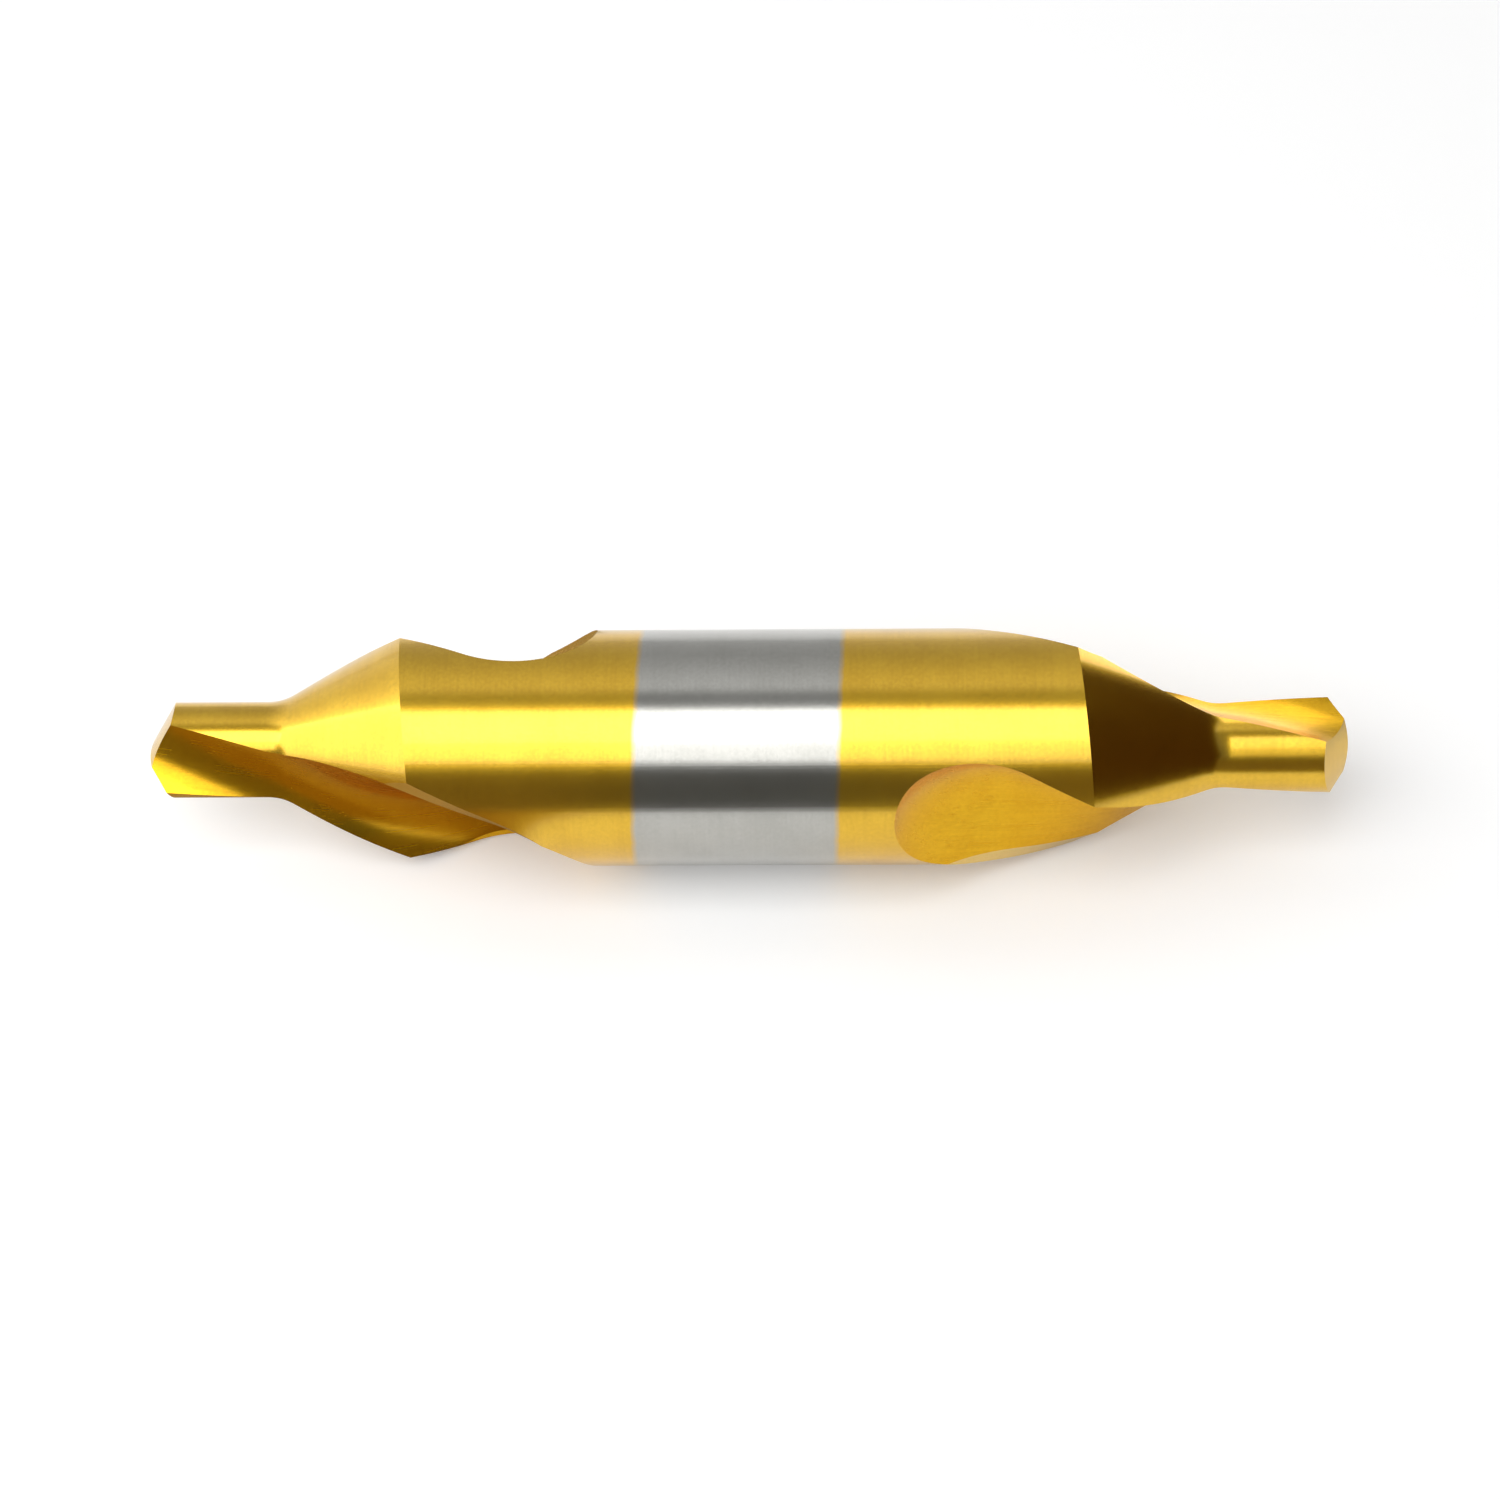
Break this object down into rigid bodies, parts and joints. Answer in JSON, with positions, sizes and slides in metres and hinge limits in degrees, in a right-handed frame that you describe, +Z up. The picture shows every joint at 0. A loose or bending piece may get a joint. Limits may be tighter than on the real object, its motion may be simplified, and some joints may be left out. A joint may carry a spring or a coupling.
{
  "type": "centre drill",
  "caption": "Double-ended centre drill: round shank, at each end a fluted countersink that narrows to a short pilot with a chisel point, for starting holes and lathe centres.",
  "frame": {"origin": "middle of the drill on its axis", "axes": "+X along the drill's axis towards the end on the right in the picture, +Z up when it lies on a bench, +Y away from the viewer"},
  "size_m": [0.0812, 0.016, 0.016],
  "materials": {
    "coated_steel": "ground cobalt high-speed steel with a satin gold titanium nitride coat on both ends and a bare steel band round the middle of the shank"
  },
  "bodies": {
    "root": {"centre_drill": "coated_steel"}
  },
  "joints": []
}
